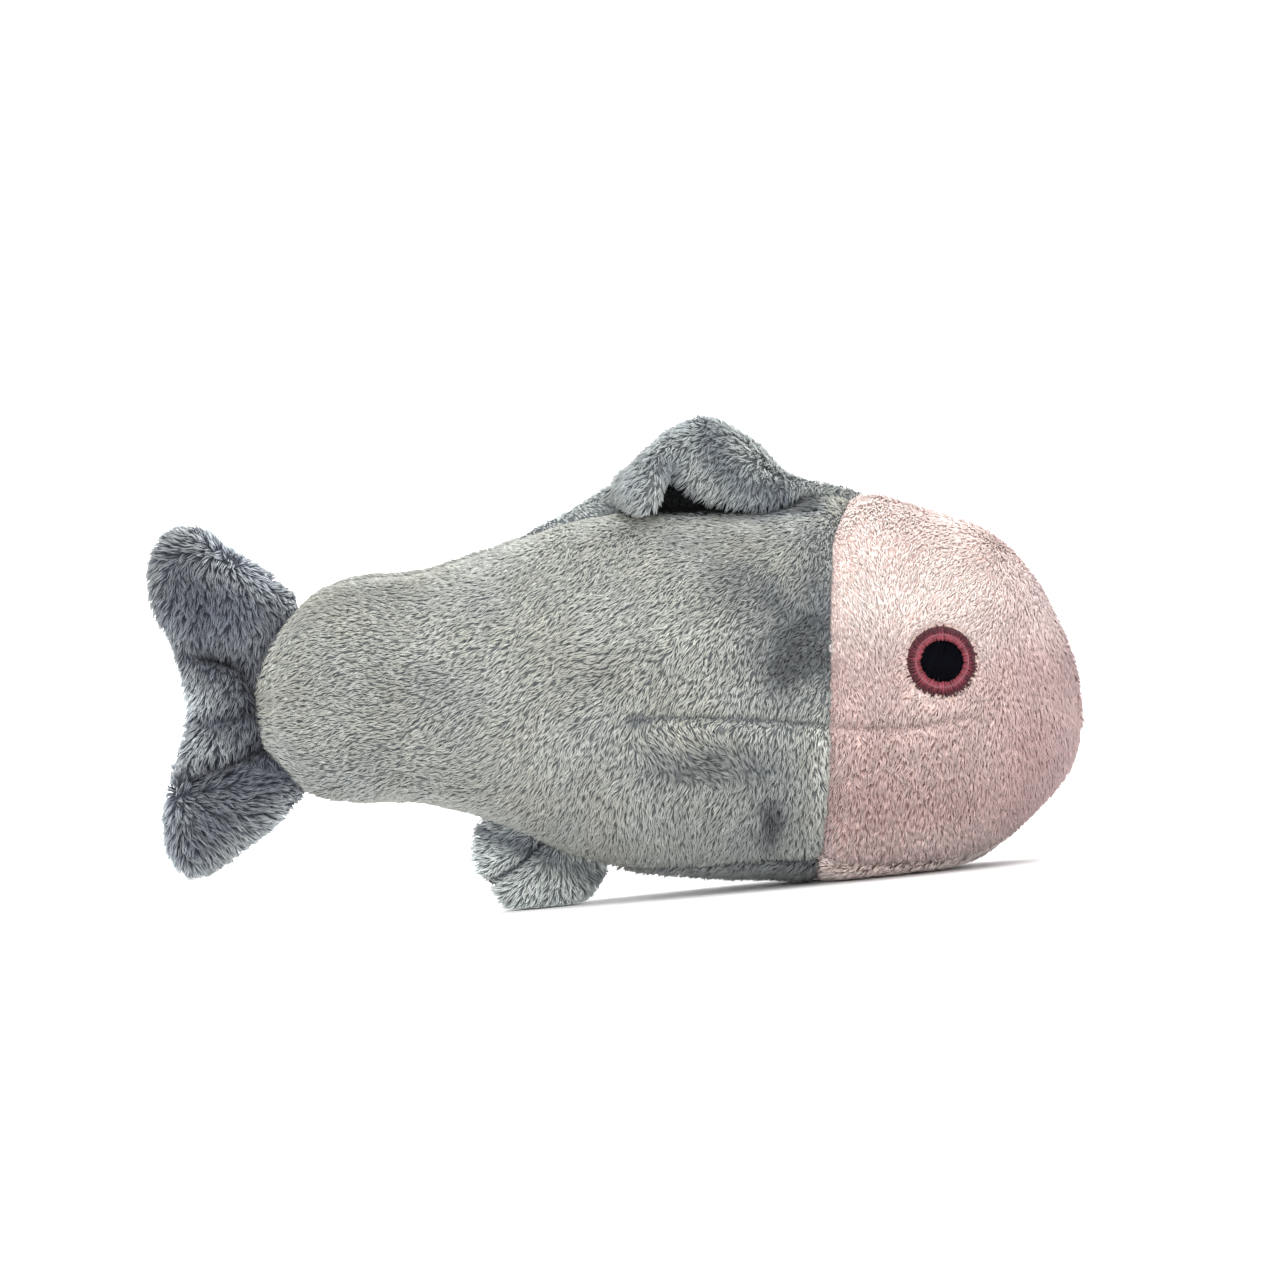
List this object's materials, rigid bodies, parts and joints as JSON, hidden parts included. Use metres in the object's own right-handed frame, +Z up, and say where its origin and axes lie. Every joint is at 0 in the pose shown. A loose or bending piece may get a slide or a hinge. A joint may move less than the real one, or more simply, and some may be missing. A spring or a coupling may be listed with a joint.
{
  "type": "plush fish",
  "caption": "Small stuffed plush fish with a pink head panel, grey body, forked tail, folded dorsal fin, one pelvic fin and embroidered eyes.",
  "frame": {"origin": "middle of the footprint box, on the surface that the toy stands on", "axes": "+X towards the nose, +Z up, +Y towards the fish's left side"},
  "size_m": [0.1788, 0.0564, 0.0909],
  "materials": {
    "grey_plush": "short pile plush, grey",
    "dark_grey_plush": "short pile plush, slate grey",
    "pink_plush": "short pile plush, pale pink",
    "maroon_embroidery": "satin stitch embroidery",
    "black_embroidery": "satin stitch embroidery",
    "grey_thread": "polyester sewing thread",
    "stuffing": "polyester fibre filling",
    "stabiliser": "non-woven embroidery backing"
  },
  "bodies": {
    "body": {"flank_panel_right": "grey_plush", "flank_panel_left": "grey_plush", "head_panel_right": "pink_plush", "head_panel_left": "pink_plush", "belly_gusset": "grey_plush", "chin_gusset": "pink_plush", "body_filling": "stuffing", "neck_seam_thread": "grey_thread", "back_seam_thread": "grey_thread", "belly_seam_threads": "grey_thread", "dart_threads": "grey_thread", "closing_stitches": "grey_thread", "eye_ring_right": "maroon_embroidery", "eye_ring_left": "maroon_embroidery", "eye_pupil_right": "black_embroidery", "eye_pupil_left": "black_embroidery", "eye_backing_right": "stabiliser", "eye_backing_left": "stabiliser"},
    "tail_fin": {"tail_panel_right": "dark_grey_plush", "tail_panel_left": "dark_grey_plush", "tail_filling": "stuffing", "tail_edge_thread": "grey_thread"},
    "dorsal_fin": {"dorsal_panel_right": "grey_plush", "dorsal_panel_left": "grey_plush", "dorsal_filling": "stuffing", "dorsal_edge_thread": "grey_thread"},
    "pelvic_fin": {"pelvic_panel_right": "grey_plush", "pelvic_panel_left": "grey_plush", "pelvic_filling": "stuffing", "pelvic_edge_thread": "grey_thread"}
  },
  "joints": [
    {"name": "tail_swing", "type": "hinge", "parent": "body", "child": "tail_fin", "pos_m": [-0.06853, 0, 0.045], "axis": [0.0958, 0, 0.9954], "range_deg": [-35, 35], "stiffness_Nm_per_rad": 0.01},
    {"name": "dorsal_fin_flop", "type": "hinge", "parent": "body", "child": "dorsal_fin", "pos_m": [0.02152, 0, 0.0746], "axis": [1, 0, -0.009], "range_deg": [-60, 6], "stiffness_Nm_per_rad": 0.004},
    {"name": "pelvic_fin_flop", "type": "hinge", "parent": "body", "child": "pelvic_fin", "pos_m": [-0.01432, 0, 0.01024], "axis": [0.9041, 0, -0.4273], "range_deg": [-50, 50], "stiffness_Nm_per_rad": 0.02}
  ]
}
